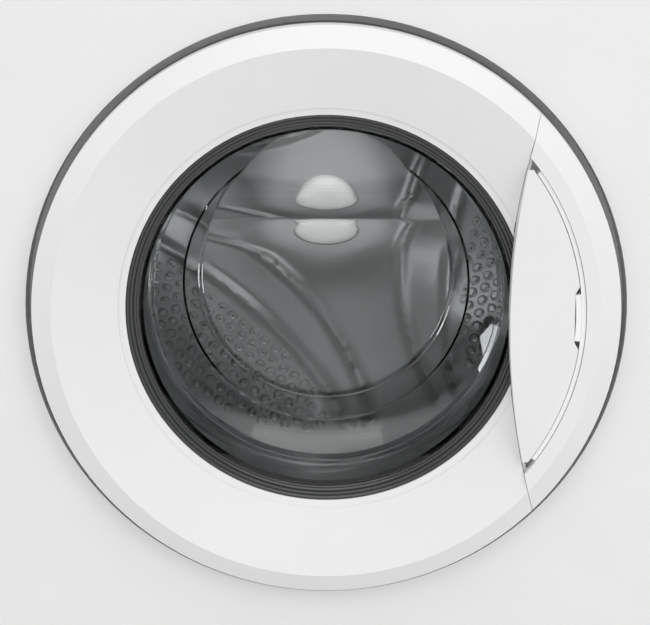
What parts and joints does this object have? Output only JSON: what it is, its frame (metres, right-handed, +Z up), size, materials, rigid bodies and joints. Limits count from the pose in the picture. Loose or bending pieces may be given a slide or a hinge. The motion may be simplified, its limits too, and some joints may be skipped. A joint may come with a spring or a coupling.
{
  "type": "front load washing machine",
  "caption": "Front loading washing machine with a white porthole door, crescent pull handle, glass bowl, sprung tub, belt driven drum, detergent drawer and drain pump",
  "frame": {"origin": "On the floor, under the middle of the whole machine's box", "axes": "X to the right seen from the front, the door faces -Y, Z up"},
  "size_m": [0.6, 0.618, 0.85],
  "materials": {
    "white_enamel": "satin white enamel",
    "white_plastic": "smooth white",
    "light_plastic": "matte light grey",
    "dark_plastic": "matte dark grey",
    "display": "smoked clear",
    "board": "solder mask green",
    "bowl_glass": "clear pressed",
    "grey_rubber": "matte grey",
    "black_rubber": "matte black",
    "stainless": "brushed stainless",
    "zinc_steel": "zinc plated",
    "tub_plastic": "filled polypropylene",
    "concrete": "cast concrete",
    "cast_alloy": "as cast",
    "motor_case": "grey lacquer",
    "laminate": "white laminate on board"
  },
  "bodies": {
    "cabinet": {"cabinet_wrapper": "white_enamel", "front_panel": "white_enamel", "back_panel": "zinc_steel", "worktop": "laminate", "base_pan": "light_plastic", "top_rail": "zinc_steel", "kick_panel": "white_plastic", "pump_housing": "light_plastic", "control_panel": "white_plastic", "display_window": "display", "control_board": "board", "dispenser_housing": "light_plastic", "inlet_valve": "light_plastic", "hinge_bracket": "zinc_steel", "hinge_pin": "zinc_steel", "door_lock": "light_plastic", "door_gasket": "grey_rubber", "damper_cylinders": "light_plastic", "tub_hoses": "black_rubber", "water_hoses": "grey_rubber", "suspension_springs": "zinc_steel"},
    "door": {"door_outer_ring": "white_plastic", "door_grip_base": "white_plastic", "door_inner_frame": "dark_plastic", "door_screws": "zinc_steel", "door_glass": "bowl_glass", "door_hinge_plate": "zinc_steel", "handle_pin": "zinc_steel"},
    "handle": {"door_handle": "white_plastic"},
    "hook": {"latch_hook": "light_plastic"},
    "tub": {"tub_front": "tub_plastic", "tub_rear": "tub_plastic", "tub_bolts": "zinc_steel", "counterweight_front": "concrete", "counterweight_top": "concrete", "counterweight_bolts": "zinc_steel", "heater": "stainless", "damper_rods": "zinc_steel", "bearings": "zinc_steel", "motor_housing": "motor_case", "drive_belt": "black_rubber"},
    "drum_set": {"drum": "stainless", "drum_back": "stainless", "drum_lifters": "light_plastic", "spider_shaft": "cast_alloy", "drum_pulley": "cast_alloy"},
    "rotor": {"motor_rotor": "zinc_steel"},
    "drawer": {"drawer_front": "white_plastic", "detergent_tray": "light_plastic"},
    "knob": {"program_knob": "white_plastic"},
    "start_key": {"start_button": "white_plastic"},
    "power_key": {"power_button": "white_plastic"},
    "option_key": {"option_button": "white_plastic"},
    "flap": {"filter_flap": "white_plastic"},
    "filter": {"filter_cap": "light_plastic"},
    "impeller": {"pump_impeller": "light_plastic"},
    "foot_fl": {"foot_front_left": "black_rubber"},
    "foot_rl": {"foot_rear_left": "black_rubber"},
    "foot_fr": {"foot_front_right": "black_rubber"},
    "foot_rr": {"foot_rear_right": "black_rubber"}
  },
  "joints": [
    {"name": "door_hinge", "type": "hinge", "parent": "cabinet", "child": "door", "pos_m": [-0.217, -0.298, 0.43], "axis": [0, 0, -1], "range_deg": [0, 120]},
    {"name": "handle_pull", "type": "hinge", "parent": "door", "child": "handle", "pos_m": [0.156, -0.297, 0.43], "axis": [0, 0, -1], "range_deg": [0, 8], "stiffness_Nm_per_rad": 6, "springref_deg": -2.86},
    {"name": "hook_turn", "type": "hinge", "parent": "door", "child": "hook", "pos_m": [0.203, -0.283, 0.43], "axis": [0, 0, 1], "range_deg": [0, 14]},
    {"name": "tub_float", "type": "slide", "parent": "cabinet", "child": "tub", "axis": [0, 0, 1], "range_m": [-0.008, 0.008], "stiffness_N_per_m": 30000, "springref_m": 0.01466, "deforming": ["suspension_springs", "door_gasket", "tub_hoses"]},
    {"name": "drum_spin", "type": "hinge", "parent": "tub", "child": "drum_set", "pos_m": [0, 0, 0.43], "axis": [0, 1, 0], "continuous": true},
    {"name": "motor_spin", "type": "hinge", "parent": "tub", "child": "rotor", "pos_m": [0.09, 0.238, 0.104], "axis": [0, 1, 0], "continuous": true},
    {"name": "drawer_slide", "type": "slide", "parent": "cabinet", "child": "drawer", "axis": [0, -1, 0], "range_m": [0, 0.18]},
    {"name": "knob_turn", "type": "hinge", "parent": "cabinet", "child": "knob", "pos_m": [-0.03, -0.295, 0.767], "axis": [0, -1, 0], "continuous": true},
    {"name": "start_press", "type": "slide", "parent": "cabinet", "child": "start_key", "axis": [0, 1, 0], "range_m": [0, 0.0015], "stiffness_N_per_m": 900},
    {"name": "power_press", "type": "slide", "parent": "cabinet", "child": "power_key", "axis": [0, 1, 0], "range_m": [0, 0.0015], "stiffness_N_per_m": 900},
    {"name": "option_press", "type": "slide", "parent": "cabinet", "child": "option_key", "axis": [0, 1, 0], "range_m": [0, 0.0015], "stiffness_N_per_m": 900},
    {"name": "flap_hinge", "type": "hinge", "parent": "cabinet", "child": "flap", "pos_m": [0.2, -0.2805, 0.069], "axis": [1, 0, 0], "range_deg": [0, 80]},
    {"name": "filter_turn", "type": "hinge", "parent": "cabinet", "child": "filter", "pos_m": [0.2, -0.225, 0.096], "axis": [0, -1, 0], "range_deg": [0, 90]},
    {"name": "impeller_spin", "type": "hinge", "parent": "cabinet", "child": "impeller", "pos_m": [0.2, -0.145, 0.096], "axis": [0, 1, 0], "continuous": true},
    {"name": "foot_fl_height", "type": "slide", "parent": "cabinet", "child": "foot_fl", "axis": [0, 0, -1], "range_m": [0, 0.015]},
    {"name": "foot_rl_height", "type": "slide", "parent": "cabinet", "child": "foot_rl", "axis": [0, 0, -1], "range_m": [0, 0.015]},
    {"name": "foot_fr_height", "type": "slide", "parent": "cabinet", "child": "foot_fr", "axis": [0, 0, -1], "range_m": [0, 0.015]},
    {"name": "foot_rr_height", "type": "slide", "parent": "cabinet", "child": "foot_rr", "axis": [0, 0, -1], "range_m": [0, 0.015]}
  ],
  "couplings": [
    {"joint": "hook_turn", "follows": "handle_pull", "ratio": 1.75},
    {"joint": "motor_spin", "follows": "drum_spin", "ratio": 13}
  ]
}
